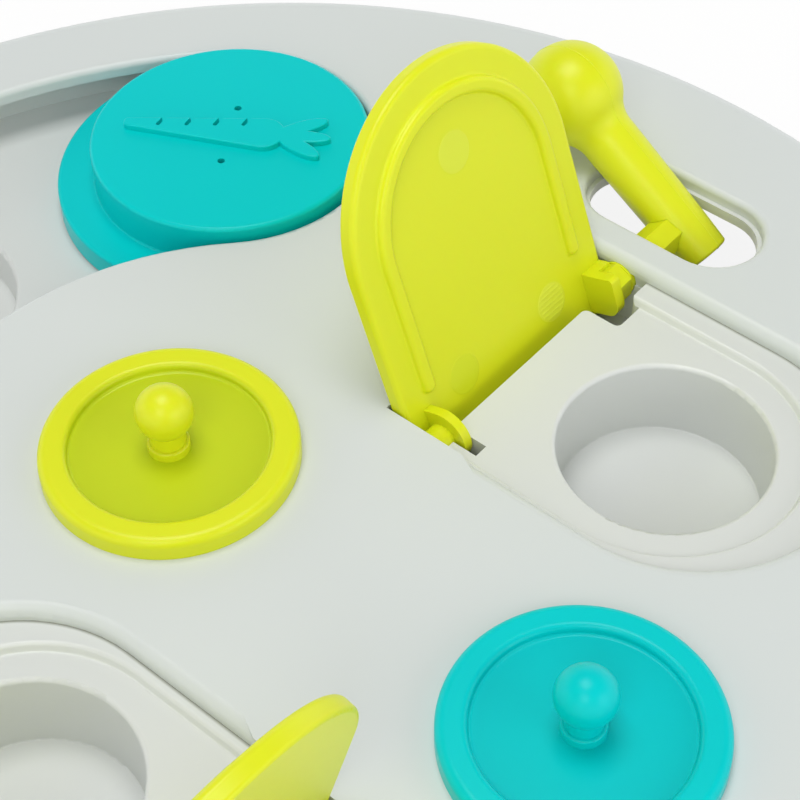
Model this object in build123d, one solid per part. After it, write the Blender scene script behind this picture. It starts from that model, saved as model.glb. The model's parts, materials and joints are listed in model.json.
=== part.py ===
from build123d import *
import os
from math import cos, hypot, radians, sin

# Round treat puzzle board for pets. Two moulded shells are screwed together from below.
# Between them they trap a disc that slides in a curved channel and two hinged flaps.
# Each flap is turned by a club-shaped lever. Two lids with ball knobs lift off their cups.
# Millimetres, +Z up, origin on the table under the centre of the round board.

# Board and top cover
RIM_LAND = 12.4
BOARD_HEIGHT = 22.0
PLATE_THICK = 2.4
SKIRT_WALL = 2.4
SKIRT_GAP = 3.0
RIM_ROUND = 3.0
COVER_INNER_ROUND = 1.5
OPENING_ROUND = 1.0
FLAP_LIP_ROUND = 1.7

# Bottom tray
DECK_THICK = 1.8
TRAY_WALL = 1.8
TRAY_CLEAR = 1.0
DECK_EDGE_CHAMFER = 1.7
TRAY_EDGE_Z = 5.0
CUP_FLOOR_Z = 5.6
CUP_RADIUS = 15.5
CUP_DRAFT = 0.6
CUP_MOUTH_ROUND = 0.7
CUP_FLOOR_ROUND = 0.25

# The lids and flaps stand in a group that is turned half round about its own centre
GROUP_X = 22.0

# Lids and their knobs
LID_OFFSET = 35.6
LID_RADIUS = 18.2
LID_THICK = 3.4
LID_EDGE_ROUND = 1.3
LID_DISH_RADIUS = 14.1
LID_DISH_DEPTH = 1.4
LID_DISH_ROUND = 0.9
LID_FLOOR = 1.8
LID_SPIGOT_DEPTH = 3.5
LID_SPIGOT_WALL = 1.6
LID_SPIGOT_CLEAR = 0.5
LID_HOLE_CLEAR = 0.4
KNOB_BALL_RADIUS = 4.05
KNOB_BALL_Z = 9.1
KNOB_STALK_RADIUS = 2.5
KNOB_COLLAR_RADIUS = 3.0
KNOB_COLLAR_HEIGHT = 1.5
KNOB_STEM_RADIUS = 1.7
KNOB_STEM_PLAY = 0.05
KNOB_BARB_STEP = 0.45
KNOB_BARB_HEIGHT = 1.6

# Curved channel and slider
CHANNEL_RADIUS = 76.1
CHANNEL_START = 135.0
CHANNEL_SWEEP = 90.0
CHANNEL_FLOOR_DROP = 9.6
CHANNEL_CUP_RADIUS = 18.9
SLIDER_RADIUS = 22.6
SLIDER_SIDE_PLAY = 0.9
SLIDER_RISE = 1.5
SLIDER_EDGE_ROUND = 0.6
SLIDER_FLANGE_RADIUS = 28.7
SLIDER_FLANGE_THICK = 4.0
SLIDER_FLANGE_ROUND = 0.6
SLIDER_FLANGE_PLAY = 0.5
SLIDER_GLIDE_GAP = 0.3
SLIDER_WALL = 2.0
SCENT_HOLE_RADIUS = 0.6
SCENT_HOLE_OFFSET = 6.6
CARROT_TURN = 32.0
CARROT_HEIGHT = 1.0
CARROT_ROUND = 0.25
CARROT_BODY_LENGTH = 26.5
CARROT_BODY_HALF = 4.0
CARROT_TIP_HALF = 0.9
CARROT_CORNER_SHARE = 0.85
CARROT_TIP = -17.5
CARROT_LEAF_LENGTH = 9.0
CARROT_LEAF_HALF = 1.4
CARROT_LEAF_FAN = 30.0
CARROT_GROOVE_WIDTH = 0.7
CARROT_GROOVE_LENGTH = 4.4
CARROT_GROOVE_STEP = 4.6
CARROT_GROOVE_LEAN = 70.0
CARROT_GROOVES = 4

# Flaps and their hinges
FLAP_Y = 49.0
FLAP_CUP_X = 14.5
FLAP_CUP_Y = 47.9
FLAP_HALF = 22.7
FLAP_GAP = 0.35
FLAP_ARC_REACH = 26.8
FLAP_FINGER_GAP = 1.8
FLAP_THICK = 2.8
FLAP_OUTER_ROUND = 0.6
FLAP_INNER_ROUND = 0.9
FLAP_HEEL = 5.0
FLAP_HEEL_CORNER = 2.5
FLAP_SEAT_GAP = 0.2
FLAP_STOP_GAP = 0.2
FLAP_OPEN_ANGLE = 109.7
FLAP_B_EASE = 5.2
RECESS_HALF = 20.0
RECESS_DROP = 3.6
RECESS_SLOPE = 0.5
RECESS_FOOT_ROUND = 0.3
RECESS_LIP_ROUND = 0.7
HINGE_X = -11.2
HINGE_DROP = 4.5
RIB_INSET = 4.4
RIB_WIDTH = 2.3
RIB_HEIGHT = 1.0
RIB_START = 6.2
RIB_DRIVE_START = 7.8
RIB_ROUND = 0.8
RIB_FOOT_ROUND = 0.4
STUB_EAR_INSET = 3.5
STUB_EAR_WIDTH = 1.5
STUB_EAR_RADIUS = 4.1
STUB_PIN_RADIUS = 2.3
STUB_PIN_LENGTH = 9.0
DRIVE_EAR_INSET = 0.5
DRIVE_EAR_WIDTH = 4.4
DRIVE_EAR_HALF = 3.4
DRIVE_PLATE_WIDTH = 1.8
DRIVE_WEB_REACH = 2.0
DRIVE_EAR_CORNER = 2.2
EAR_ROUND = 0.7
JOURNAL_RADIUS = 2.9
JOURNAL_PLAY = 0.05
DRIVE_BEARING_LENGTH = 5.9
BEARING_WALL = 2.2
BEARING_DEPTH = 5.5
BEARING_GAP = 0.3
POCKET_FRONT_GAP = 0.6
POCKET_CLEAR = 0.5
STUB_NOTCH_CLEAR = 0.4
STUB_NOTCH_REACH = 6.3
DRIVE_NOTCH_CLEAR = 4.2
DRIVE_NOTCH_REACH = 6.8
BAND_NOTCH_REACH = 5.2
NOTCH_ROUND = 1.0
HINGE_TAB_REACH = 6.6

# Levers and the hexagonal drive that turns them
LEVER_SHIFT = 2.2
LEVER_LEAD = 36.5
LEVER_BALL_RADIUS = 8.2
LEVER_BALL_REACH = 26.6
LEVER_NECK_RADIUS = 4.55
LEVER_HUB_RADIUS = 4.25
LEVER_TAIL_RADIUS = 4.0
LEVER_TAIL_REACH = 6.8
LEVER_NECK_BLEND = 5.0
LEVER_TAIL_ROUND = 0.5
DRIVE_FLATS = 5.4
DRIVE_TURN = -16.0
DRIVE_PLAY = 0.05
DRIVE_END = 2.4
DRIVE_END_GAP = 0.3
SLOT_LENGTH = 30.1
SLOT_WIDTH = 15.5
SLOT_X = -11.0
SLOT_STEP = 0.7

# Screw towers inside the rim and beside the trough, and feet, by angle about the board's centre
TOWER_ANGLES = (20.0, 62.0, 100.0, 260.0, 312.0, 340.0)
TOWER_INSET = 11.0
INNER_TOWER_ANGLES = (135.0, 225.0)
INNER_TOWER_LAND = 1.0
TOWER_RADIUS = 5.4
TOWER_BOTTOM_Z = 5.0
TOWER_FLOOR = 2.0
POST_RADIUS = 3.4
POST_CLEAR = 0.4
SCREW_RADIUS = 1.2
SCREW_PILOT_PLAY = 0.05
SCREW_HOLE_PLAY = 0.5
SCREW_HEAD_RADIUS = 2.8
SCREW_HEAD_THICK = 1.8
SCREW_HEAD_CLEAR = 0.8
SCREW_BITE = 8.0
FOOT_ANGLES = (42.0, 112.0, 155.0, 205.0, 248.0, 322.0)
FOOT_INSET = 16.0
FOOT_RADIUS = 6.0
FOOT_PROUD = 1.6
FOOT_SEAT_DEPTH = 1.4
FOOT_ROUND = 0.6
FOOT_SEAT_PLAY = 0.1
FOOT_POST_WALL = 1.6

# Levels and places that follow from the sizes above
PLATE_BOTTOM = BOARD_HEIGHT - PLATE_THICK
DECK_BOTTOM = PLATE_BOTTOM - DECK_THICK
RECESS_FLOOR = BOARD_HEIGHT - RECESS_DROP
CHANNEL_FLOOR = BOARD_HEIGHT - CHANNEL_FLOOR_DROP
HINGE_Z = BOARD_HEIGHT - HINGE_DROP
CHANNEL_HALF = SLIDER_RADIUS + SLIDER_SIDE_PLAY
TROUGH_HALF = SLIDER_FLANGE_RADIUS + SLIDER_FLANGE_PLAY
FLAP_INNER = PLATE_BOTTOM + FLAP_SEAT_GAP - HINGE_Z
FLAP_OUTER = FLAP_INNER + FLAP_THICK
FLAP_OPENING_HALF = FLAP_HALF + FLAP_GAP
OPENING_ARC_X = HINGE_X + FLAP_ARC_REACH + FLAP_FINGER_GAP
STOP_SLIDE = (HINGE_DROP - FLAP_OUTER * cos(radians(FLAP_OPEN_ANGLE))) / sin(radians(FLAP_OPEN_ANGLE))
STOP_X = STOP_SLIDE * cos(radians(FLAP_OPEN_ANGLE)) - FLAP_OUTER * sin(radians(FLAP_OPEN_ANGLE))
OPENING_BACK = HINGE_X + STOP_X - FLAP_STOP_GAP
OPENING_MIDDLE = (OPENING_BACK + OPENING_ARC_X + FLAP_OPENING_HALF) / 2
HEEL_SWING = (FLAP_HEEL ** 2 + FLAP_OUTER ** 2) ** 0.5
POCKET_FLOOR = HINGE_Z - HEEL_SWING - POCKET_CLEAR
POCKET_FRONT = HINGE_X + POCKET_FRONT_GAP
POCKET_LOW_Y = FLAP_Y - FLAP_HALF - POCKET_CLEAR
POCKET_HIGH_Y = FLAP_Y + FLAP_HALF + POCKET_CLEAR
SLOT_NEAR_Y = POCKET_HIGH_Y + DRIVE_BEARING_LENGTH
SLOT_Y = SLOT_NEAR_Y + SLOT_WIDTH / 2
LEVER_Y = SLOT_Y + LEVER_SHIFT
STUB_EAR_Y = FLAP_Y - FLAP_HALF + STUB_EAR_INSET
STUB_END_Y = STUB_EAR_Y - STUB_PIN_LENGTH
DRIVE_EAR_END = FLAP_Y + FLAP_HALF - DRIVE_EAR_INSET
DRIVE_EAR_Y = DRIVE_EAR_END - DRIVE_EAR_WIDTH
FLAP_REST_ANGLES = {"a": FLAP_OPEN_ANGLE, "b": FLAP_OPEN_ANGLE - FLAP_B_EASE}
LID_SPIGOT_RADIUS = CUP_RADIUS - LID_SPIGOT_CLEAR
LID_HOLE_RADIUS = CUP_RADIUS + LID_HOLE_CLEAR
KNOB_SEAT_Z = LID_THICK - LID_DISH_DEPTH
SLIDER_FLANGE_TOP = CHANNEL_FLOOR + SLIDER_GLIDE_GAP + SLIDER_FLANGE_THICK

# The round board reaches past its openings and the tray's trough
CHANNEL_REACH = CHANNEL_RADIUS + CHANNEL_HALF
TROUGH_REACH = CHANNEL_RADIUS + TROUGH_HALF + TRAY_WALL
SLOT_END_X = GROUP_X + abs(SLOT_X) + (SLOT_LENGTH - SLOT_WIDTH) / 2
SLOT_REACH = hypot(SLOT_END_X, SLOT_Y) + SLOT_WIDTH / 2
BOARD_RADIUS = max(CHANNEL_REACH + RIM_LAND, SLOT_REACH + RIM_LAND, TROUGH_REACH + TRAY_CLEAR + SKIRT_WALL)
TRAY_RADIUS = BOARD_RADIUS - SKIRT_WALL - TRAY_CLEAR
INNER_TOWER_RADIUS = CHANNEL_RADIUS - TROUGH_HALF - TRAY_WALL - TOWER_RADIUS - INNER_TOWER_LAND
TOWER_PLACES = [(BOARD_RADIUS - TOWER_INSET, angle) for angle in TOWER_ANGLES]
TOWER_PLACES += [(INNER_TOWER_RADIUS, angle) for angle in INNER_TOWER_ANGLES]
FOOT_PLACES = [(BOARD_RADIUS - FOOT_INSET, angle) for angle in FOOT_ANGLES]


def rounded(points, corners):
    """A closed face through the points, with the listed (point, radius) corners rounded."""
    face = make_face(Polyline(*points, close=True))
    for point, radius in corners:
        face = fillet(face.vertices().sort_by_distance(Vector(*point))[0], radius)
    return face


def turned(face):
    """Turn a face drawn in radius and height once round the Z axis."""
    return revolve(Plane.XZ * face, Axis.Z)


def prism(face, low, high):
    """Raise a face drawn in X and Y from one height to another."""
    return Pos(0, 0, low) * extrude(face, high - low, dir=(0, 0, 1))


def across(face, low, high):
    """Stretch a face drawn in X and Z from one Y to another."""
    return Pos(0, high, 0) * Rot(90, 0, 0) * extrude(face, high - low)


def block(x_span, y_span, z_span):
    """A box between the given limits."""
    spans = (x_span, y_span, z_span)
    middle = [(low + high) / 2 for low, high in spans]
    return Pos(*middle) * Box(*[high - low for low, high in spans])


def plan(x_span, y_span):
    """A rectangle between the given limits."""
    middle = [(low + high) / 2 for low, high in (x_span, y_span)]
    return Pos(*middle) * Rectangle(x_span[1] - x_span[0], y_span[1] - y_span[0])


def polar(radius, angle):
    """Place a thing at a radius and angle about the board's centre."""
    return Pos(radius * cos(radians(angle)), radius * sin(radians(angle)), 0)


def station(turn):
    """Place a thing drawn about the group's centre, turned by the given angle."""
    return Pos(GROUP_X, 0, 0) * Rot(0, 0, turn)


STATIONS = {"a": station(0), "b": station(180)}
LID_PLACES = {"lime": Pos(GROUP_X - LID_OFFSET, 0, 0), "teal": Pos(GROUP_X + LID_OFFSET, 0, 0)}


def channel_outline(half_width):
    """The curved channel as a slot with round ends."""
    middle = CenterArc((0, 0, 0), CHANNEL_RADIUS, CHANNEL_START, CHANNEL_SWEEP)
    return SlotArc(middle, 2 * half_width)


def flap_outline(half_width, back, arc_x):
    """A straight-backed outline with a half-round end, about the flap's middle line."""
    straight = Pos((back + arc_x) / 2, 0) * Rectangle(arc_x - back, 2 * half_width)
    return straight + Pos(arc_x, 0) * Circle(half_width)


def lever_slot(inset):
    """The slot that a lever swings in, drawn inside the cover's edge by the inset."""
    return Pos(SLOT_X, SLOT_Y) * SlotOverall(SLOT_LENGTH - 2 * inset, SLOT_WIDTH - 2 * inset)


def hinge_bore(radius, low_y, high_y):
    """A round bore on the hinge axis of a flap."""
    return across(Pos(HINGE_X, HINGE_Z) * Circle(radius), low_y, high_y)


def stub_bearing(z_span, gap):
    """The stub pin's bearing block between two heights, drawn in by the gap."""
    half = STUB_PIN_RADIUS + BEARING_WALL - gap
    return block((HINGE_X - half, HINGE_X + half),
                 (STUB_END_Y - BEARING_WALL / 2 + gap, POCKET_LOW_Y - gap), z_span)


def drive_bearing(z_span, gap):
    """The journal's bearing block between two heights, drawn in by the gap."""
    half = JOURNAL_RADIUS + BEARING_WALL - gap
    return block((HINGE_X - half, HINGE_X + half), (POCKET_HIGH_Y + gap, SLOT_NEAR_Y - gap), z_span)


def bearing_bores():
    """The bores of both bearings of one flap, with their running play."""
    stub = hinge_bore(STUB_PIN_RADIUS + JOURNAL_PLAY, STUB_END_Y - JOURNAL_PLAY, STUB_EAR_Y)
    return stub + hinge_bore(JOURNAL_RADIUS + JOURNAL_PLAY, DRIVE_EAR_END, SLOT_NEAR_Y)


def lips(cover, of_flaps):
    """Top edges of the cover's two flap openings, or of all its other openings."""
    middles = [(place * Pos(OPENING_MIDDLE, FLAP_Y, BOARD_HEIGHT)).position for place in STATIONS.values()]
    edges = []
    for wire in cover.faces().sort_by(Axis.Z)[-1].inner_wires():
        away = min((wire.bounding_box().center() - middle).length for middle in middles)
        if (away < FLAP_HALF / 2) == of_flaps:
            edges += wire.edges()
    return edges


def stop_edges():
    """Square edges of one flap opening: the stop behind the flap and the tab over its stub pin."""
    wall = FLAP_Y - FLAP_OPENING_HALF
    deep = FLAP_LIP_ROUND + OPENING_ROUND
    far_wall = FLAP_Y + FLAP_OPENING_HALF
    heights = (PLATE_BOTTOM, BOARD_HEIGHT)
    stop = block((OPENING_BACK - deep, OPENING_BACK), (wall - deep, far_wall + deep), heights)
    tab_end = HINGE_X + HINGE_TAB_REACH
    tab = rounded([(OPENING_BACK - deep, wall - deep), (tab_end + 2 * deep, wall - deep), (tab_end, wall),
                   (OPENING_BACK - deep, wall)], [])
    return stop + prism(tab, *heights)


def make_top_cover():
    """Plate and skirt with every opening, the upper bearing halves and the screw posts."""
    inner = BOARD_RADIUS - SKIRT_WALL
    shell = turned(rounded(
        [(0, PLATE_BOTTOM), (inner, PLATE_BOTTOM), (inner, SKIRT_GAP), (BOARD_RADIUS, SKIRT_GAP),
         (BOARD_RADIUS, BOARD_HEIGHT), (0, BOARD_HEIGHT)],
        [((inner, PLATE_BOTTOM), COVER_INNER_ROUND), ((BOARD_RADIUS, BOARD_HEIGHT), RIM_ROUND)]))
    openings = channel_outline(CHANNEL_HALF)
    for place in STATIONS.values():
        opening = Pos(0, FLAP_Y) * flap_outline(FLAP_OPENING_HALF, OPENING_BACK, OPENING_ARC_X)
        openings += place * (opening + lever_slot(0))
    for place in LID_PLACES.values():
        openings += place * Circle(LID_HOLE_RADIUS)
    cover = shell - prism(openings, PLATE_BOTTOM, BOARD_HEIGHT)
    cover = fillet(lips(cover, False), OPENING_ROUND)
    cover = fillet(lips(cover, True), FLAP_LIP_ROUND)
    for place in STATIONS.values():
        cover += place * stop_edges()
        caps = stub_bearing((HINGE_Z, PLATE_BOTTOM), BEARING_GAP)
        caps += drive_bearing((HINGE_Z, PLATE_BOTTOM), BEARING_GAP)
        cover = cover + place * caps - place * bearing_bores()
    post_bottom = TOWER_BOTTOM_Z + SCREW_HEAD_THICK + TOWER_FLOOR
    pilot = Circle(SCREW_RADIUS + SCREW_PILOT_PLAY)
    for spot in TOWER_PLACES:
        post = prism(Circle(POST_RADIUS), post_bottom, PLATE_BOTTOM)
        post -= prism(pilot, post_bottom, post_bottom + SCREW_BITE)
        cover += polar(*spot) * post
    return cover


def cup_profile(radius, mouth_z):
    """Half section of a cup's hollow, with a rounded floor and a rounded mouth."""
    low = radius - CUP_DRAFT
    flare = radius + 2 * CUP_MOUTH_ROUND
    above = mouth_z + CUP_MOUTH_ROUND
    points = [(0, CUP_FLOOR_Z), (low, CUP_FLOOR_Z), (radius, mouth_z),
              (flare, mouth_z), (flare, above), (0, above)]
    return rounded(points, [((low, CUP_FLOOR_Z), CUP_FLOOR_ROUND), ((radius, mouth_z), CUP_MOUTH_ROUND)])


def cup_shell(radius, mouth_z):
    """Outside of a cup, one wall thicker than its hollow."""
    low_z = CUP_FLOOR_Z - TRAY_WALL
    low = radius - CUP_DRAFT + TRAY_WALL
    points = [(0, low_z), (low, low_z), (radius + TRAY_WALL, mouth_z), (0, mouth_z)]
    return turned(rounded(points, [((low, low_z), CUP_FLOOR_ROUND)]))


def flap_pocket(grow):
    """Space behind a flap's floor that its heel and ears swing in, grown by a wall."""
    back = OPENING_BACK - POCKET_CLEAR - grow
    front = POCKET_FRONT + grow
    stub_front = HINGE_X + STUB_NOTCH_REACH + grow
    drive_front = HINGE_X + DRIVE_NOTCH_REACH + grow
    band_front = HINGE_X + BAND_NOTCH_REACH + grow
    stub_low = STUB_EAR_Y - STUB_NOTCH_CLEAR - grow
    stub_high = STUB_EAR_Y + STUB_EAR_WIDTH + STUB_NOTCH_CLEAR + grow
    drive_low = DRIVE_EAR_Y - DRIVE_NOTCH_CLEAR - grow
    drive_high = FLAP_CUP_Y + RECESS_HALF + grow
    outline = plan((back, front), (POCKET_LOW_Y - grow, POCKET_HIGH_Y + grow))
    outline += plan((back, stub_front), (stub_low, stub_high))
    outline += plan((back, drive_front), (drive_low, drive_high))
    outline += plan((back, band_front), (drive_low, POCKET_HIGH_Y + grow))
    corners = [(front, drive_low), (drive_front, drive_low), (band_front, drive_high)]
    for corner in corners:
        outline = fillet(outline.vertices().sort_by_distance(Vector(*corner))[0], NOTCH_ROUND)
    return prism(outline, POCKET_FLOOR - grow, DECK_BOTTOM if grow else BOARD_HEIGHT)


def flap_floor_outline(half):
    """Outline of the sunken floor under a flap, rounded about its cup."""
    return Pos(0, FLAP_CUP_Y) * flap_outline(half, HINGE_X, FLAP_CUP_X)


def flap_floor_pan():
    """The sunken floor under a flap, with a soft sloped step down from the band it rests on."""
    mouth = RECESS_HALF + RECESS_SLOPE
    low = Pos(0, 0, RECESS_FLOOR) * flap_floor_outline(RECESS_HALF).face()
    hollow = loft([low, Pos(0, 0, PLATE_BOTTOM) * flap_floor_outline(mouth).face()], ruled=True)
    foot = [edge for edge in hollow.edges().group_by(Axis.Z)[0] if edge.center().X > HINGE_X + 1]
    hollow = fillet(foot, RECESS_FOOT_ROUND)
    pan = prism(flap_floor_outline(mouth + TRAY_WALL), RECESS_FLOOR - DECK_THICK, PLATE_BOTTOM) - hollow
    reach = mouth + TRAY_WALL / 2
    rim = [edge for edge in pan.edges().group_by(Axis.Z)[-1]
           if abs(edge.center().Y - FLAP_CUP_Y) < reach and edge.center().X > HINGE_X + 1]
    return fillet([edge for edge in rim if edge.center().X < FLAP_CUP_X + reach], RECESS_LIP_ROUND)


def make_bottom_tray():
    """Deck with cups, trough, sunken floors, hinge pockets, towers and foot posts."""
    deck_corner = (TRAY_RADIUS - DECK_EDGE_CHAMFER, PLATE_BOTTOM)
    inner = TRAY_RADIUS - TRAY_WALL
    tray = turned(make_face(Polyline(
        (0, DECK_BOTTOM), (inner, DECK_BOTTOM), (inner, TRAY_EDGE_Z), (TRAY_RADIUS, TRAY_EDGE_Z),
        (TRAY_RADIUS, PLATE_BOTTOM - DECK_EDGE_CHAMFER), deck_corner, (0, PLATE_BOTTOM), close=True)))
    channel_cup = Pos(-CHANNEL_RADIUS, 0, 0)
    flap_cup = Pos(FLAP_CUP_X, FLAP_CUP_Y, 0)
    tray += prism(channel_outline(TROUGH_HALF + TRAY_WALL), CHANNEL_FLOOR - TRAY_WALL, PLATE_BOTTOM)
    tray += channel_cup * cup_shell(CHANNEL_CUP_RADIUS, CHANNEL_FLOOR)
    pan_room = prism(flap_floor_outline(RECESS_HALF + RECESS_SLOPE + TRAY_WALL), DECK_BOTTOM, PLATE_BOTTOM)
    for place in STATIONS.values():
        tray = tray - place * pan_room + place * flap_floor_pan()
        tray += place * flap_cup * cup_shell(CUP_RADIUS, RECESS_FLOOR)
        tray += place * flap_pocket(TRAY_WALL)
    for place in LID_PLACES.values():
        tray += place * cup_shell(CUP_RADIUS, PLATE_BOTTOM)
    for spot in TOWER_PLACES:
        tray += polar(*spot) * prism(Circle(TOWER_RADIUS), TOWER_BOTTOM_Z, PLATE_BOTTOM)
    foot_seat_z = FOOT_PROUD + FOOT_SEAT_DEPTH
    for radius, angle in FOOT_PLACES:
        over_channel = abs(angle - CHANNEL_START - CHANNEL_SWEEP / 2) < CHANNEL_SWEEP / 2
        top = CHANNEL_FLOOR - TRAY_WALL / 2 if over_channel else DECK_BOTTOM
        post = Circle(FOOT_RADIUS + FOOT_SEAT_PLAY + FOOT_POST_WALL)
        tray += polar(radius, angle) * prism(post, FOOT_PROUD, top)
        seat = Circle(FOOT_RADIUS + FOOT_SEAT_PLAY)
        tray -= polar(radius, angle) * prism(seat, FOOT_PROUD, foot_seat_z)

    tray -= prism(channel_outline(TROUGH_HALF), CHANNEL_FLOOR, BOARD_HEIGHT)
    tray -= channel_cup * turned(cup_profile(CHANNEL_CUP_RADIUS, CHANNEL_FLOOR))
    for place in STATIONS.values():
        tray -= place * flap_cup * turned(cup_profile(CUP_RADIUS, RECESS_FLOOR))
        tray -= place * prism(lever_slot(SLOT_STEP), DECK_BOTTOM, PLATE_BOTTOM)
        cap_z = (HINGE_Z, BOARD_HEIGHT)
        tray -= place * (stub_bearing(cap_z, 0) + drive_bearing(cap_z, 0))
        bearing_z = (HINGE_Z - BEARING_DEPTH, HINGE_Z)
        tray += place * (stub_bearing(bearing_z, 0) + drive_bearing(bearing_z, 0))
        tray -= place * (flap_pocket(0) + bearing_bores())
        neck_z = (HINGE_Z - JOURNAL_RADIUS - BEARING_GAP, PLATE_BOTTOM)
        half = JOURNAL_RADIUS + BEARING_WALL
        neck_y = (SLOT_NEAR_Y, SLOT_NEAR_Y + 2 * SLOT_STEP)
        tray -= place * block((HINGE_X - half, HINGE_X + half), neck_y, neck_z)
    for place in LID_PLACES.values():
        tray -= place * turned(cup_profile(CUP_RADIUS, PLATE_BOTTOM))
    head_top = TOWER_BOTTOM_Z + SCREW_HEAD_THICK
    for spot in TOWER_PLACES:
        hollow = prism(Circle(POST_RADIUS + POST_CLEAR), head_top + TOWER_FLOOR, PLATE_BOTTOM)
        hollow += prism(Circle(SCREW_RADIUS + SCREW_HOLE_PLAY), head_top, head_top + TOWER_FLOOR)
        hollow += prism(Circle(SCREW_HEAD_RADIUS + SCREW_HEAD_CLEAR), TOWER_BOTTOM_Z, head_top)
        tray -= polar(*spot) * hollow
    return tray


def eased(outline):
    """Raise an outline to the relief's height, with its top edge eased."""
    relief = prism(outline, 0, CARROT_HEIGHT)
    return fillet(relief.edges().group_by(Axis.Z)[-1], CARROT_ROUND)


def carrot():
    """A plain carrot in relief: a tapered body with short grooves along one side, and three leaves."""
    shoulder = CARROT_TIP + CARROT_BODY_LENGTH
    half = CARROT_BODY_HALF
    tip = CARROT_TIP_HALF
    points = [(CARROT_TIP, -tip), (shoulder, -half), (shoulder, half), (CARROT_TIP, tip)]
    relief = eased(rounded(points, [(point, abs(point[1]) * CARROT_CORNER_SHARE) for point in points]))
    groove = Rot(0, 0, CARROT_GROOVE_LEAN) * SlotOverall(CARROT_GROOVE_LENGTH, CARROT_GROOVE_WIDTH)
    for number in range(CARROT_GROOVES):
        along = shoulder - half - CARROT_GROOVE_STEP * (number + 0.5)
        edge = tip + (half - tip) * (along - CARROT_TIP) / CARROT_BODY_LENGTH
        relief -= Pos(along, edge) * prism(groove, 0, CARROT_HEIGHT)
    leaf = Pos(CARROT_LEAF_LENGTH / 2, 0) * Ellipse(CARROT_LEAF_LENGTH / 2, CARROT_LEAF_HALF)
    for fan in (-CARROT_LEAF_FAN, 0, CARROT_LEAF_FAN):
        relief += Pos(shoulder - CARROT_LEAF_HALF, 0) * Rot(0, 0, fan) * eased(leaf)
    return relief


def make_slider():
    """Disc on a wide flange, hollow below, with the relief and the scent holes."""
    low = CHANNEL_FLOOR + SLIDER_GLIDE_GAP
    top = BOARD_HEIGHT + SLIDER_RISE
    bore = SLIDER_RADIUS - SLIDER_WALL
    points = [(bore, low), (SLIDER_FLANGE_RADIUS, low), (SLIDER_FLANGE_RADIUS, SLIDER_FLANGE_TOP),
              (SLIDER_RADIUS, SLIDER_FLANGE_TOP), (SLIDER_RADIUS, top), (0, top),
              (0, top - SLIDER_WALL), (bore, top - SLIDER_WALL)]
    body = turned(rounded(points, [((SLIDER_RADIUS, top), SLIDER_EDGE_ROUND),
                                   ((SLIDER_FLANGE_RADIUS, SLIDER_FLANGE_TOP), SLIDER_FLANGE_ROUND),
                                   ((SLIDER_RADIUS, SLIDER_FLANGE_TOP), SLIDER_FLANGE_ROUND / 2)]))
    body += Pos(0, 0, top) * Rot(0, 0, CARROT_TURN) * carrot()
    for side in (-1, 1):
        hole = prism(Circle(SCENT_HOLE_RADIUS), top - SLIDER_WALL, top)
        body -= Rot(0, 0, CARROT_TURN) * Pos(0, side * SCENT_HOLE_OFFSET, 0) * hole
    return polar(CHANNEL_RADIUS, CHANNEL_START) * body


def flap_drive(play):
    """Hexagon of the drive end, in the flap's own axes, grown by the play."""
    return RegularPolygon(DRIVE_FLATS / 2 + play, 6, major_radius=False, rotation=DRIVE_TURN)


def flap_rib():
    """The low rounded rib that runs round a flap's inner face, open toward the hinge."""
    outline = flap_outline(FLAP_HALF - RIB_INSET, RIB_START, FLAP_ARC_REACH)
    outline -= flap_outline(FLAP_HALF - RIB_INSET - RIB_WIDTH, RIB_START - RIB_WIDTH, FLAP_ARC_REACH)
    outline -= plan((RIB_START - RIB_WIDTH, RIB_DRIVE_START), (0, FLAP_HALF))
    ends = [vertex for vertex in outline.vertices() if vertex.X < RIB_DRIVE_START + RIB_ROUND]
    outline = fillet(ends, RIB_WIDTH * 0.48)
    rib = Pos(0, FLAP_Y, 0) * prism(outline, FLAP_INNER - RIB_HEIGHT, FLAP_INNER)
    return fillet(rib.edges().group_by(Axis.Z)[0], RIB_ROUND)


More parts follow.
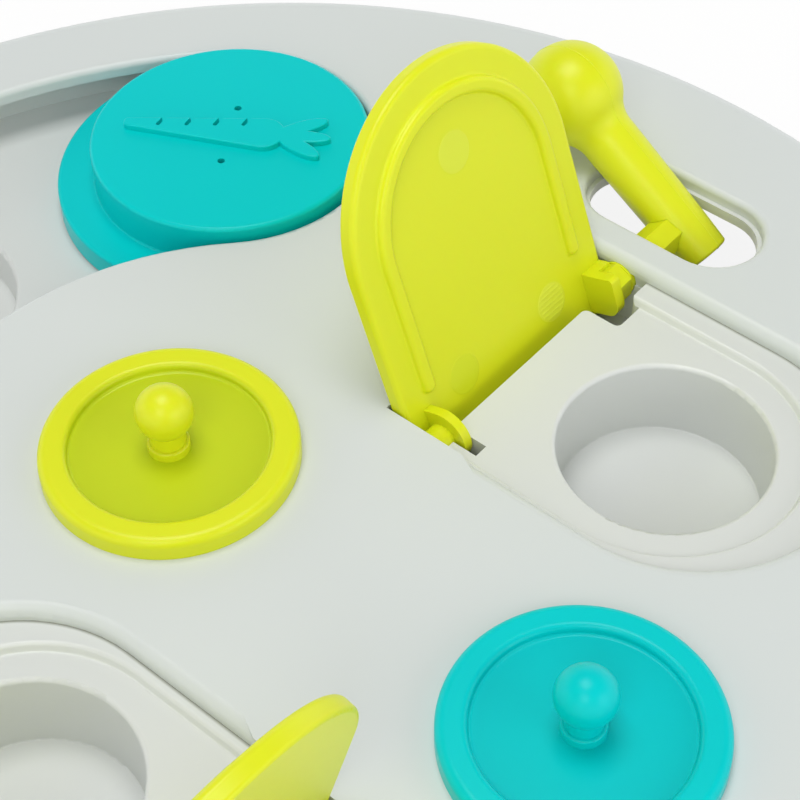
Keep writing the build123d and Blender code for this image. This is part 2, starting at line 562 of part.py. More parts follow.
def make_flap():
    """Flap lying closed, with the hinge axis on Y: plate, rib, ears, pin, journal and drive."""
    outline = flap_outline(FLAP_HALF, -FLAP_HEEL, FLAP_ARC_REACH)
    heel = [vertex for vertex in outline.vertices() if vertex.X < -FLAP_HEEL / 2]
    outline = fillet(heel, FLAP_HEEL_CORNER)
    plate = Pos(0, FLAP_Y, 0) * prism(outline, FLAP_INNER, FLAP_OUTER)
    plate = fillet(plate.edges().group_by(Axis.Z)[-1], FLAP_OUTER_ROUND)
    plate = fillet(plate.edges().group_by(Axis.Z)[0], FLAP_INNER_ROUND)
    flap = plate + flap_rib()
    inner = flap.faces().filter_by(Axis.Z).group_by(Axis.Z)[1][0]
    flap = fillet(inner.inner_wires()[0].edges(), RIB_FOOT_ROUND)
    stub_ear = Circle(STUB_EAR_RADIUS) + plan((-STUB_EAR_RADIUS, STUB_EAR_RADIUS), (0, FLAP_INNER))
    flap += across(stub_ear, STUB_EAR_Y, STUB_EAR_Y + STUB_EAR_WIDTH)
    half = DRIVE_EAR_HALF
    ear = rounded([(-half, FLAP_INNER), (-half, -half), (half, -half), (half, FLAP_INNER)],
                  [((-half, -half), DRIVE_EAR_CORNER), ((half, -half), EAR_ROUND)])
    plate_end = DRIVE_EAR_Y + DRIVE_PLATE_WIDTH
    journal_low = FLAP_Y + FLAP_HALF
    flap += across(ear, DRIVE_EAR_Y, plate_end)
    flap += block((-half, half), (DRIVE_EAR_Y, DRIVE_EAR_END), (FLAP_INNER - DRIVE_WEB_REACH, FLAP_INNER))
    flap += across(Circle(STUB_PIN_RADIUS), STUB_END_Y, STUB_EAR_Y)
    flap += across(flap_drive(0), plate_end, journal_low)
    flap += across(Circle(JOURNAL_RADIUS), journal_low, SLOT_NEAR_Y)
    return flap + across(flap_drive(0), SLOT_NEAR_Y, LEVER_Y + DRIVE_END)


def make_lever():
    """Club-shaped lever along +X from the hinge axis, with a hexagonal socket in its hub."""
    neck = LEVER_BALL_REACH - LEVER_BALL_RADIUS - LEVER_NECK_BLEND / 2
    touch = LEVER_BALL_REACH - (LEVER_BALL_RADIUS ** 2 - LEVER_NECK_RADIUS ** 2) ** 0.5
    shank = [(-LEVER_TAIL_REACH, 0), (-LEVER_TAIL_REACH, LEVER_TAIL_RADIUS), (0, LEVER_HUB_RADIUS),
             (neck, LEVER_NECK_RADIUS), (touch, LEVER_NECK_RADIUS), (touch, 0)]
    ball = Pos(LEVER_BALL_REACH, 0) * Circle(LEVER_BALL_RADIUS)
    above = Rectangle(4 * LEVER_BALL_RADIUS, 2 * LEVER_BALL_RADIUS)
    upper = Pos(LEVER_BALL_REACH, LEVER_BALL_RADIUS) * above
    half = rounded(shank, [((-LEVER_TAIL_REACH, LEVER_TAIL_RADIUS), LEVER_TAIL_ROUND)]) + (ball & upper)
    corner = half.vertices().sort_by_distance(Vector(touch, LEVER_NECK_RADIUS))[0]
    half = fillet(corner, LEVER_NECK_BLEND)
    lever = Pos(0, LEVER_Y, 0) * revolve(half, Axis.X)
    socket_end = LEVER_Y + DRIVE_END + DRIVE_END_GAP
    socket = across(flap_drive(DRIVE_PLAY), LEVER_Y - LEVER_BALL_RADIUS, socket_end)
    return lever - Rot(0, LEVER_LEAD, 0) * socket


def make_lid():
    """Dished lid with a spigot that drops into its cup and a hole for the knob's stem."""
    bore = KNOB_STEM_RADIUS + KNOB_STEM_PLAY
    under = KNOB_SEAT_Z - LID_FLOOR
    inner = LID_SPIGOT_RADIUS - LID_SPIGOT_WALL
    points = [(bore, KNOB_SEAT_Z), (LID_DISH_RADIUS, KNOB_SEAT_Z), (LID_DISH_RADIUS, LID_THICK),
              (LID_RADIUS, LID_THICK), (LID_RADIUS, 0), (LID_SPIGOT_RADIUS, 0),
              (LID_SPIGOT_RADIUS, -LID_SPIGOT_DEPTH), (inner, -LID_SPIGOT_DEPTH),
              (inner, under), (bore, under)]
    corners = [((LID_RADIUS, LID_THICK), LID_EDGE_ROUND),
               ((LID_DISH_RADIUS, KNOB_SEAT_Z), LID_DISH_ROUND / 2),
               ((LID_DISH_RADIUS, LID_THICK), LID_DISH_ROUND)]
    return Pos(0, 0, BOARD_HEIGHT) * turned(rounded(points, corners))


def make_knob():
    """Ball knob on a collared stalk, with a barbed stem that snaps under the lid."""
    under = KNOB_SEAT_Z - LID_FLOOR - KNOB_STEM_PLAY
    collar_top = KNOB_SEAT_Z + KNOB_COLLAR_HEIGHT
    barb = KNOB_STEM_RADIUS + KNOB_BARB_STEP
    points = [(0, under - KNOB_BARB_HEIGHT), (KNOB_STEM_RADIUS, under - KNOB_BARB_HEIGHT), (barb, under),
              (KNOB_STEM_RADIUS, under), (KNOB_STEM_RADIUS, KNOB_SEAT_Z), (KNOB_COLLAR_RADIUS, KNOB_SEAT_Z),
              (KNOB_COLLAR_RADIUS, collar_top), (KNOB_STALK_RADIUS, collar_top),
              (KNOB_STALK_RADIUS, KNOB_BALL_Z), (0, KNOB_BALL_Z)]
    corners = [((KNOB_COLLAR_RADIUS, collar_top), (KNOB_COLLAR_RADIUS - KNOB_STALK_RADIUS) * 0.9)]
    knob = turned(rounded(points, corners)) + Pos(0, 0, KNOB_BALL_Z) * Sphere(KNOB_BALL_RADIUS)
    return Pos(0, 0, BOARD_HEIGHT) * knob


def make_screw():
    """Pan-head screw standing on its head, in a tower."""
    head_top = TOWER_BOTTOM_Z + SCREW_HEAD_THICK
    points = [(0, TOWER_BOTTOM_Z), (SCREW_HEAD_RADIUS, TOWER_BOTTOM_Z), (SCREW_HEAD_RADIUS, head_top),
              (SCREW_RADIUS, head_top), (SCREW_RADIUS, head_top + SCREW_BITE), (0, head_top + SCREW_BITE)]
    return turned(rounded(points, [((SCREW_HEAD_RADIUS, TOWER_BOTTOM_Z), SCREW_HEAD_THICK / 2)]))


def make_foot():
    """Rubber pad glued in a foot post's seat."""
    top = FOOT_PROUD + FOOT_SEAT_DEPTH
    points = [(0, 0), (FOOT_RADIUS, 0), (FOOT_RADIUS, top), (0, top)]
    return turned(rounded(points, [((FOOT_RADIUS, 0), FOOT_ROUND)]))


def all_nodes():
    """Every piece in its place at rest: flaps open, slider at the channel's start, lids on."""
    nodes = {"top_cover": make_top_cover(), "bottom_tray": make_bottom_tray(), "slider": make_slider()}
    axis = Pos(HINGE_X, 0, HINGE_Z)
    flap = make_flap()
    lever = make_lever()
    for name, place in STATIONS.items():
        angle = FLAP_REST_ANGLES[name]
        nodes[f"flap_{name}"] = place * axis * Rot(0, -angle, 0) * flap
        nodes[f"lever_{name}"] = place * axis * Rot(0, -angle - LEVER_LEAD, 0) * lever
    for colour, place in LID_PLACES.items():
        nodes[f"lid_{colour}"] = place * make_lid()
        nodes[f"knob_{colour}"] = place * make_knob()
    nodes["cover_screws"] = Compound([polar(*spot) * make_screw() for spot in TOWER_PLACES])
    for number, spot in enumerate(FOOT_PLACES, start=1):
        nodes[f"foot_{number}"] = polar(*spot) * make_foot()
    return nodes


os.makedirs("parts", exist_ok=True)
for node, solid in all_nodes().items():
    export_step(solid, f"parts/{node}.step")
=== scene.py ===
"""Studio scene of a round treat puzzle board for pets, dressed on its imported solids."""
import json
import logging
from dataclasses import asdict, dataclass
from enum import Enum
from math import cos, pi, radians, sin
from typing import Any, Mapping, Optional, Sequence

import bmesh
import bpy
from mathutils import Matrix, Vector


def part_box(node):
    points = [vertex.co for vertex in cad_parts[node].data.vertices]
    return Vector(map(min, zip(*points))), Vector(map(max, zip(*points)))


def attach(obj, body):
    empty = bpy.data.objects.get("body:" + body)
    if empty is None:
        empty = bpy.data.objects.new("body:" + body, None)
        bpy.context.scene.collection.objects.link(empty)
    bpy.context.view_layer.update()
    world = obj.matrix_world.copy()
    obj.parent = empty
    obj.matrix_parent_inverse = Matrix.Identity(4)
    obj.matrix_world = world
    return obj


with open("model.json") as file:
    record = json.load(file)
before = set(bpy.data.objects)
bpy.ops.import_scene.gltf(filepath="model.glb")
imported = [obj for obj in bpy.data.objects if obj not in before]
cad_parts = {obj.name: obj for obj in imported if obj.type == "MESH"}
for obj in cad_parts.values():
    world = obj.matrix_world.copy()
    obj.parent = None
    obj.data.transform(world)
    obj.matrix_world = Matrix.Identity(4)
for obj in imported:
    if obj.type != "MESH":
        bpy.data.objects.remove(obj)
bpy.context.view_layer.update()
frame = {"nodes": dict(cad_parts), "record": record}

LOG = logging.getLogger("puzzle_board")
MM = 0.001
Point = tuple[float, float, float]
# Keeps a point's X and Y, and drops its Z.
FLATTEN = (1.0, 1.0, 0.0)
# The mix node numbers its two colours and its result among the sockets of its other kinds.
MIX_FIRST, MIX_SECOND, MIX_RESULT = 6, 7, 2


def linear(hex_colour: str) -> tuple[float, float, float, float]:
    """Turn an sRGB hex colour into linear red, green, blue and an opaque alpha.

    Args:
        hex_colour: six hex digits.

    Returns:
        The linear colour as four numbers.
    """
    channels = [int(hex_colour[place:place + 2], 16) / 255 for place in (0, 2, 4)]
    # These numbers are the sRGB standard's own.
    red, green, blue = [
        channel / 12.92 if channel <= 0.04045 else ((channel + 0.055) / 1.055) ** 2.4
        for channel in channels]
    return red, green, blue, 1.0


def per_metre(size_mm: float) -> float:
    """Texture scale that makes a pattern repeat about once per given size in millimetres."""
    return 1.0 / (size_mm * MM)


def add_node(
    tree: bpy.types.NodeTree, kind: str, inputs: Optional[Mapping[Any, Any]] = None, **settings: Any
) -> bpy.types.Node:
    """Add a node, give it settings, and set or link its inputs.

    Args:
        tree: the node tree that the node joins.
        kind: the node's type name.
        inputs: socket name or number to a constant, or to an output socket that is linked in.
        settings: attributes of the node itself.

    Returns:
        The new node.
    """
    node = tree.nodes.new(kind)
    for name, value in settings.items():
        setattr(node, name, value)
    for socket, value in (inputs or {}).items():
        if isinstance(value, bpy.types.NodeSocket):
            tree.links.new(value, node.inputs[socket])
        else:
            node.inputs[socket].default_value = value
    return node


def new_material(name: str) -> tuple[bpy.types.Material, bpy.types.NodeTree]:
    """Start an empty node material.

    Args:
        name: the material's name.

    Returns:
        The material and its cleared node tree.
    """
    material = bpy.data.materials.new(name)
    material.use_nodes = True
    material.node_tree.nodes.clear()
    return material, material.node_tree


def add_piece(
    name: str, data: bpy.types.ID, place: Matrix, body: str, material: bpy.types.Material
) -> bpy.types.Object:
    """Add a small piece that moves with a body of the board.

    Args:
        name: the piece's name.
        data: its mesh or curve, in metres.
        place: where it stands at rest.
        body: the body that carries it.
        material: its finish.

    Returns:
        The new object.
    """
    data.materials.append(material)
    piece = bpy.data.objects.new(name, data)
    bpy.context.scene.collection.objects.link(piece)
    piece.matrix_world = place
    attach(piece, body)
    LOG.info("%s rides on %s", name, body)
    return piece


@dataclass(frozen=True)
class MouldedPlastic:
    """An injection-moulded plastic: even colour, a fine tool grain and a soft sheen."""

    name: str
    colour: str
    deep_colour: str
    roughness: float
    roughness_spread: float
    grain_mm: float
    grain_depth_mm: float
    flow_mm: float
    specular: float = 0.5
    ior: float = 1.53
    subsurface: float = 0.0
    subsurface_mm: float = 1.5
    grain_detail: float = 3.0
    grain_breakup: float = 0.6
    flow_detail: float = 2.0
    flow_breakup: float = 0.5
    bump_strength: float = 1.0

    def tint(self, tree: bpy.types.NodeTree, place: bpy.types.NodeSocket) -> bpy.types.NodeSocket:
        """Mix the plastic's two close colours along broad flow marks, as the melt cools unevenly.

        Args:
            tree: the material's node tree.
            place: the point on the piece, in metres.

        Returns:
            The colour output.
        """
        flow = add_node(tree, "ShaderNodeTexNoise", {
            "Vector": place, "Scale": per_metre(self.flow_mm), "Detail": self.flow_detail,
            "Roughness": self.flow_breakup})
        mix = add_node(tree, "ShaderNodeMix", {
            "Factor": flow.outputs["Fac"], MIX_FIRST: linear(self.colour),
            MIX_SECOND: linear(self.deep_colour)}, data_type="RGBA")
        return mix.outputs[MIX_RESULT]

    def material(self) -> bpy.types.Material:
        """Build the plastic.

        Returns:
            The finished material.
        """
        material, tree = new_material(self.name)
        place = add_node(tree, "ShaderNodeTexCoord").outputs["Object"]
        # The spark-eroded tool leaves a fine grain that breaks up the gloss. The real grain, a few
        # hundredths of a millimetre wide, is too fine to show, so it is drawn coarser.
        grain = add_node(tree, "ShaderNodeTexNoise", {
            "Vector": place, "Scale": per_metre(self.grain_mm), "Detail": self.grain_detail,
            "Roughness": self.grain_breakup})
        gloss = add_node(tree, "ShaderNodeMapRange", {
            "Value": grain.outputs["Fac"], "To Min": self.roughness - self.roughness_spread,
            "To Max": self.roughness + self.roughness_spread})
        bump = add_node(tree, "ShaderNodeBump", {
            "Height": grain.outputs["Fac"], "Distance": self.grain_depth_mm * MM,
            "Strength": self.bump_strength})
        shader = add_node(tree, "ShaderNodeBsdfPrincipled", {
            "Base Color": self.tint(tree, place), "Roughness": gloss.outputs["Result"],
            "Normal": bump.outputs["Normal"], "IOR": self.ior, "Specular IOR Level": self.specular,
            "Subsurface Weight": self.subsurface, "Subsurface Scale": self.subsurface_mm * MM})
        add_node(tree, "ShaderNodeOutputMaterial", {"Surface": shader.outputs["BSDF"]})
        return material


@dataclass(frozen=True)
class DishShadedPlastic(MouldedPlastic):
    """A moulded plastic with painted shade that makes a lid's thin dished floor deeper, for the
    dark cup below it.
    """

    # The painted shade of the dish floor: its colour, and where it fades out.
    dish_shade_colour: str = "000000"
    dish_radius_mm: float = 15.0
    dish_blur_mm: float = 1.2
    centre_mm: tuple[float, float] = (0.0, 0.0)

    def tint(self, tree: bpy.types.NodeTree, place: bpy.types.NodeSocket) -> bpy.types.NodeSocket:
        """Deepen the flow-marked colour inside the dish with painted shade.

        Args:
            tree: the material's node tree.
            place: the point on the piece, in metres.

        Returns:
            The colour output.
        """
        flat = add_node(tree, "ShaderNodeVectorMath", {0: place, 1: FLATTEN}, operation="MULTIPLY")
        centre = (self.centre_mm[0] * MM, self.centre_mm[1] * MM, 0.0)
        away = add_node(tree, "ShaderNodeVectorMath", {
            0: flat.outputs["Vector"], 1: centre}, operation="DISTANCE")
        inside = add_node(tree, "ShaderNodeMapRange", {
            "Value": away.outputs["Value"],
            "From Min": (self.dish_radius_mm - self.dish_blur_mm) * MM,
            "From Max": self.dish_radius_mm * MM,
            "To Min": 1.0, "To Max": 0.0}, interpolation_type="SMOOTHSTEP")
        # Painted shade: the floor inside the dish is mixed towards the darker colour.
        mix = add_node(tree, "ShaderNodeMix", {
            "Factor": inside.outputs["Result"], MIX_FIRST: super().tint(tree, place),
            MIX_SECOND: linear(self.dish_shade_colour)}, data_type="RGBA")
        return mix.outputs[MIX_RESULT]


@dataclass(frozen=True)
class FlapLip:
    """The foot of the cover's lip round each flap's opening, in millimetres from its hinge."""

    reach: float = 28.6
    across: float = 49.0
    radius: float = 23.05
    level: float = 19.6

    def spines(self) -> list[tuple[Point, Point]]:
        """Find the middle line of each opening, from its hinge to the centre of its round end.

        Returns:
            The low and the high end of each line, in metres.
        """
        found = []
        for joint in frame["record"]["behaviour"]["joints"]:
            if joint["child"].startswith("flap_"):
                side = -1.0 if joint["axis"][1] > 0 else 1.0
                hinge, across = joint["pos_m"][0], side * self.across * MM
                low, high = sorted((hinge, hinge + side * self.reach * MM))
                found.append(((low, across, 0.0), (high, across, 0.0)))
        return found


@dataclass(frozen=True)
class JointShadedPlastic(MouldedPlastic):
    """A moulded plastic with painted shade: a dark line along the fine open joint where the other
    shell's lip stands over it.
    """

    # The painted shade along each lip's foot: its dark colour and its width.
    joint_shade_colour: str = "8F9187"
    joint_shade_mm: float = 0.6
    level_blur_mm: float = 0.05
    lip: FlapLip = FlapLip()

    def tint(self, tree: bpy.types.NodeTree, place: bpy.types.NodeSocket) -> bpy.types.NodeSocket:
        """Paint shade on the flow-marked colour at the foot of each lip, where light hardly gets
        in.

        Args:
            tree: the material's node tree.
            place: the point on the piece, in metres.

        Returns:
            The colour output.
        """
        colour = super().tint(tree, place)
        flat = add_node(tree, "ShaderNodeVectorMath", {0: place, 1: FLATTEN}, operation="MULTIPLY")
        height = add_node(tree, "ShaderNodeSeparateXYZ", {0: place})
        on_deck = add_node(tree, "ShaderNodeMath", {
            0: height.outputs["Z"],
            1: (self.lip.level - self.level_blur_mm) * MM}, operation="GREATER_THAN")
        for low, high in self.lip.spines():
            capped = add_node(tree, "ShaderNodeVectorMath", {
                0: flat.outputs["Vector"], 1: high}, operation="MINIMUM")
            near = add_node(tree, "ShaderNodeVectorMath", {
                0: capped.outputs["Vector"], 1: low}, operation="MAXIMUM")
            away = add_node(tree, "ShaderNodeVectorMath", {
                0: flat.outputs["Vector"], 1: near.outputs["Vector"]}, operation="DISTANCE")
            inward = add_node(tree, "ShaderNodeMath", {
                0: self.lip.radius * MM, 1: away.outputs["Value"]}, operation="SUBTRACT")
            apart = add_node(tree, "ShaderNodeMath", {
                0: inward.outputs["Value"]}, operation="ABSOLUTE")
            # Painted shade: a dark line on the deck, darkest right at the lip's foot.
            shade = add_node(tree, "ShaderNodeMapRange", {
                "Value": apart.outputs["Value"], "From Min": 0.0, "From Max": self.joint_shade_mm * MM,
                "To Min": on_deck.outputs["Value"], "To Max": 0.0}, interpolation_type="SMOOTHSTEP")
            mix = add_node(tree, "ShaderNodeMix", {
                "Factor": shade.outputs["Result"], MIX_FIRST: colour,
                MIX_SECOND: linear(self.joint_shade_colour)}, data_type="RGBA")
            colour = mix.outputs[MIX_RESULT]
        return colour


@dataclass(frozen=True)
class PlatedSteel:
    """A zinc-plated steel screw: bright, slightly blue and finely brushed."""

    name: str
    colour: str
    roughness: float
    grain_mm: float
    bright_share: float = 0.7
    dull_share: float = 1.4

    def material(self) -> bpy.types.Material:
        """Build the plated steel.

        Returns:
            The finished material.
        """
        material, tree = new_material(self.name)
        place = add_node(tree, "ShaderNodeTexCoord").outputs["Object"]
        # The brushed haze is drawn coarser than it is, so that it shows.
        grain = add_node(tree, "ShaderNodeTexNoise", {
            "Vector": place, "Scale": per_metre(self.grain_mm)})
        gloss = add_node(tree, "ShaderNodeMapRange", {
            "Value": grain.outputs["Fac"], "To Min": self.roughness * self.bright_share,
            "To Max": self.roughness * self.dull_share})
        shader = add_node(tree, "ShaderNodeBsdfPrincipled", {
            "Base Color": linear(self.colour), "Metallic": 1.0,
            "Roughness": gloss.outputs["Result"]})
        add_node(tree, "ShaderNodeOutputMaterial", {"Surface": shader.outputs["BSDF"]})
        return material


class Finish(Enum):
    """The finishes of the board's pieces."""

    # Moulded ABS in pale grey: a dead-even satin skin with a very fine grain.
    COVER = MouldedPlastic(
        "satin_grey_abs", "D0D5D3", "CDD2D0", roughness=0.38, roughness_spread=0.04,
        grain_mm=0.35, grain_depth_mm=0.001, flow_mm=60.0, specular=0.4)
    # The same ABS in a slightly warmer, lighter grey, smoother inside the tray, with a fine dark
    # line of painted shade where the cover's lips stand over it.
    TRAY = JointShadedPlastic(
        "satin_warm_grey_abs", "D6D9D6", "D3D6D3", roughness=0.33, roughness_spread=0.04,
        grain_mm=0.35, grain_depth_mm=0.001, flow_mm=50.0)
    # Moulded polypropylene in lime: soft gloss, and a little light gets into it.
    LIME = MouldedPlastic(
        "soft_gloss_lime_pp", "D8DF1B", "D5DC17", roughness=0.36, roughness_spread=0.03,
        grain_mm=0.5, grain_depth_mm=0.0003, flow_mm=30.0, specular=0.35, ior=1.49, subsurface=0.1)
    # The same lime where an ejector pin or the mould's joint left it a shade paler.
    LIME_MARK = MouldedPlastic(
        "pale_witness_lime_pp", "DEE433", "DBE12F", roughness=0.36, roughness_spread=0.04,
        grain_mm=0.5, grain_depth_mm=0.0003, flow_mm=10.0, specular=0.4, ior=1.49, subsurface=0.1)
    # Moulded polypropylene in turquoise: the same soft gloss, with weaker reflections.
    TURQUOISE = MouldedPlastic(
        "soft_gloss_turquoise_pp", "00C8C8", "00C4C5", roughness=0.3, roughness_spread=0.03,
        grain_mm=0.5, grain_depth_mm=0.0003, flow_mm=30.0, specular=0.15, ior=1.49, subsurface=0.1)
    # Thermoplastic rubber in pale grey: dull and slightly rough.
    RUBBER = MouldedPlastic(
        "pale_grey_rubber", "B9BCB9", "AEB1AE", roughness=0.75, roughness_spread=0.08,
        grain_mm=0.6, grain_depth_mm=0.02, flow_mm=8.0, specular=0.3, ior=1.5)
    # Zinc-plated steel: bright metal with a fine brushed haze.
    STEEL = PlatedSteel("zinc_plated_steel", "C4C7C9", roughness=0.3, grain_mm=0.2)


@dataclass
class Wardrobe:
    """The finishes, each built once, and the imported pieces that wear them."""

    made: dict[Finish, bpy.types.Material]

    @classmethod
    def stocked(cls) -> "Wardrobe":
        """Build every finish once."""
        return cls({finish: finish.value.material() for finish in Finish})

    def wear(self, node: str, material: bpy.types.Material) -> None:
        """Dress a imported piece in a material.

        Args:
            node: the piece's name.
            material: the material that it wears.
        """
        mesh = frame["nodes"][node].data
        mesh.materials.clear()
        mesh.materials.append(material)
        LOG.info("%s wears %s", node, material.name)

    def dress(self, node: str, finish: Finish) -> None:
        """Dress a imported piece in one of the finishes."""
        self.wear(node, self.made[finish])


@dataclass
class Shells:
    """The top cover and bottom tray, with the screws that join them and the feet below."""

    finishes: Mapping[str, Finish]

    @classmethod
    def from_frame(cls) -> "Shells":
        """Find the shells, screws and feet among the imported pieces.

        Returns:
            The shells with the finish of each piece.
        """
        found = {
            "top_cover": Finish.COVER, "bottom_tray": Finish.TRAY, "cover_screws": Finish.STEEL}
        feet = [node for node in frame["nodes"] if node.startswith("foot_")]
        return cls({**found, **{foot: Finish.RUBBER for foot in feet}})

    def dress(self, wardrobe: Wardrobe) -> None:
        """Give each shell, screw and foot its finish."""
        for node, finish in self.finishes.items():
            wardrobe.dress(node, finish)


@dataclass
class Slider:
    """The turquoise disc that runs in the curved channel."""

    node: str = "slider"

    def dress(self, wardrobe: Wardrobe) -> None:
        """Give the disc its finish."""
        wardrobe.dress(self.node, Finish.TURQUOISE)


@dataclass
class LiftLid:
    """A dished lid and its ball knob."""

    lid: str
    knob: str
    finish: Finish
    # The colour of the painted shade on the dish floor.
    dish_shade_colour: str

    def dress(self, wardrobe: Wardrobe) -> None:
        """Give the knob its finish, and the lid the same one, with painted shade deeper in its
        dish.

        Args:
            wardrobe: the finishes to choose from.
        """
        wardrobe.dress(self.knob, self.finish)
        low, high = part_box(self.lid)
        middle = (low + high) / 2 / MM
        base: MouldedPlastic = self.finish.value
        # The lid wears its finish with painted shade inside the dish.
        dished = DishShadedPlastic(**{
            **asdict(base), "name": f"{base.name}_dished", "dish_shade_colour": self.dish_shade_colour,
            "centre_mm": (middle.x, middle.y)})
        wardrobe.wear(self.lid, dished.material())


@dataclass(frozen=True)
class PinMark:
    """The round witness of an ejector pin on a flap's inner face, in millimetres."""

    reach: float
    across: float
    radius: float
    finish: Finish
    lines: int = 0


@dataclass
class HingedFlap:
    """A flap and the ball-ended lever that turns it, with the marks that their mould left."""

    letter: str
    marks: Sequence[PinMark] = (
        PinMark(35.5, 49.2, 3.1, Finish.LIME_MARK),
        PinMark(3.4, 59.3, 3.1, Finish.LIME_MARK, lines=7),
        PinMark(4.2, 39.0, 3.1, Finish.LIME))
    inner_mm: float = 2.3
    mark_height_mm: float = 0.03
    mark_edge_mm: float = 0.15
    line_width_mm: float = 0.16
    line_height_mm: float = 0.035
    crest_share: float = 0.9
    seam_radius_mm: float = 0.06
    seam_facets: int = 2
    weld_mm: float = 0.001
    rim_steps: int = 48

    @property
    def body(self) -> str:
        """The body that carries the flap and its lever."""
        return f"flap_{self.letter}"

    def hinge(self) -> Matrix:
        """Work out where the flap's own axes stand at rest.

        Returns:
            The matrix from the shut flap, with its hinge on Y, to the rest pose.
        """
        joints = frame["record"]["behaviour"]["joints"]
        joint = next(joint for joint in joints if joint["child"] == self.body)
        opened = -radians(joint["range_deg"][0])
        turn = pi if joint["axis"][1] > 0 else 0.0
        place = Matrix.Translation((joint["pos_m"][0], 0.0, joint["pos_m"][2]))
        return place @ Matrix.Rotation(turn, 4, "Z") @ Matrix.Rotation(-opened, 4, "Y")

    def mark_mesh(self, name: str, mark: PinMark) -> bpy.types.Mesh:
        """Turn a low disc with an eased edge, and raise the pin's tool lines across it.

        Args:
            name: the mesh's name.
            mark: the mark's place, size and count of tool lines.

        Returns:
            The mesh, facing down from the inner face of the shut flap.
        """
        mesh = bpy.data.meshes.new(name)
        shape = bmesh.new()
        face_z = self.inner_mm
        top_z = face_z - self.mark_height_mm
        middle = Vector((mark.reach, mark.across, 0.0))
        angles = [2 * pi * step / self.rim_steps for step in range(self.rim_steps)]
        rings = []
        for radius, z in ((mark.radius, face_z), (mark.radius - self.mark_edge_mm, top_z)):
            ring = [middle + Vector((radius * cos(turn), radius * sin(turn), z)) for turn in angles]
            rings.append([shape.verts.new(point * MM) for point in ring])
        for step in range(self.rim_steps):
            after = (step + 1) % self.rim_steps
            shape.faces.new((rings[0][step], rings[1][step], rings[1][after], rings[0][after]))
        shape.faces.new(rings[1])
        shape.faces.new(list(reversed(rings[0])))
        spacing = 2 * mark.radius / (mark.lines + 1)
        for line in range(mark.lines):
            offset = spacing * (line + 1) - mark.radius
            half = (mark.radius ** 2 - offset ** 2) ** 0.5 - 2 * self.mark_edge_mm
            self.raise_line(shape, middle + Vector((offset, 0.0, top_z)), half)
        bmesh.ops.recalc_face_normals(shape, faces=shape.faces)
        shape.to_mesh(mesh)
        shape.free()
        return mesh

    def raise_line(self, shape: bmesh.types.BMesh, middle: Vector, half: float) -> None:
        """Add one tool line, a low ridge with sloped sides, to a pin mark.

        Args:
            shape: the mark's mesh.
            middle: the line's middle, in millimetres.
            half: half of the line's length.
        """
        lift = Vector((0.0, 0.0, -self.line_height_mm))
        wide = Vector((self.line_width_mm, 0.0, 0.0))
        long = Vector((0.0, half, 0.0))
        foot = [
            middle - wide - long, middle + wide - long, middle + wide + long, middle - wide + long]
        crest = [middle + lift - long * self.crest_share, middle + lift + long * self.crest_share]
        corners = [shape.verts.new(point * MM) for point in foot]
        first, last = [shape.verts.new(point * MM) for point in crest]
        shape.faces.new((corners[0], corners[1], first))
        shape.faces.new((corners[1], corners[2], last, first))
        shape.faces.new((corners[2], corners[3], last))
        shape.faces.new((corners[3], corners[0], first, last))
        shape.faces.new(list(reversed(corners)))

    def seam_curve(self, name: str) -> bpy.types.Curve:
        """Trace the mould's parting line round the lever, where its middle plane cuts the surface.

        Args:
            name: the curve's name.

        Returns:
            A closed thin bead.
        """
        low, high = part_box(f"lever_{self.letter}")
        shape = bmesh.new()
        shape.from_mesh(frame["nodes"][f"lever_{self.letter}"].data)
        bmesh.ops.remove_doubles(shape, verts=shape.verts, dist=self.weld_mm * MM)
        everything = [*shape.verts, *shape.edges, *shape.faces]
        cut = bmesh.ops.bisect_plane(
            shape, geom=everything, plane_co=(low + high) / 2, plane_no=(0.0, 1.0, 0.0))
        edges = [item for item in cut["geom_cut"] if isinstance(item, bmesh.types.BMEdge)]
        loop = max(self.chains(edges), key=self.rise)
        curve = bpy.data.curves.new(name, "CURVE")
        curve.dimensions = "3D"
        curve.bevel_depth = self.seam_radius_mm * MM
        curve.bevel_resolution = self.seam_facets
        spline = curve.splines.new("POLY")
        spline.points.add(len(loop) - 1)
        for point, spot in zip(spline.points, loop):
            point.co = (*spot, 1.0)
        spline.use_cyclic_u = True
        shape.free()
        return curve

    @staticmethod
    def rise(chain: Sequence[Vector]) -> float:
        """How far a run of points climbs."""
        return max(point.z for point in chain) - min(point.z for point in chain)

    @staticmethod
    def chains(edges: Sequence[bmesh.types.BMEdge]) -> list[list[Vector]]:
        """String loose edges into runs of points.

        Args:
            edges: the edges of one or more closed outlines.

        Returns:
            The points of each outline in order.
        """
        waiting = set(edges)
        runs = []
        while waiting:
            edge = min(waiting, key=lambda item: item.index)
            waiting.remove(edge)
            run = [edge.verts[0], edge.verts[1]]
            while True:
                onward = [item for item in run[-1].link_edges if item in waiting]
                if not onward:
                    break
                waiting.remove(onward[0])
                run.append(onward[0].other_vert(run[-1]))
            closed = run[:-1] if run[0] is run[-1] else run
            runs.append([vert.co.copy() for vert in closed])
        return runs

    def build(self, wardrobe: Wardrobe) -> None:
        """Add the pin marks and the lever's parting line.

        Args:
            wardrobe: the finishes to choose from.
        """
        for number, mark in enumerate(self.marks, start=1):
            name = f"flap_{self.letter}_pin_mark_{number}"
            mesh, worn = self.mark_mesh(name, mark), wardrobe.made[mark.finish]
            add_piece(name, mesh, self.hinge(), self.body, worn)
        name = f"lever_{self.letter}_seam"
        paler = wardrobe.made[Finish.LIME_MARK]
        bead = self.seam_curve(name)
        add_piece(name, bead, Matrix.Identity(4), self.body, paler)

    def dress(self, wardrobe: Wardrobe) -> None:
        """Give the flap and its lever their finish."""
        wardrobe.dress(f"flap_{self.letter}", Finish.LIME)
        wardrobe.dress(f"lever_{self.letter}", Finish.LIME)


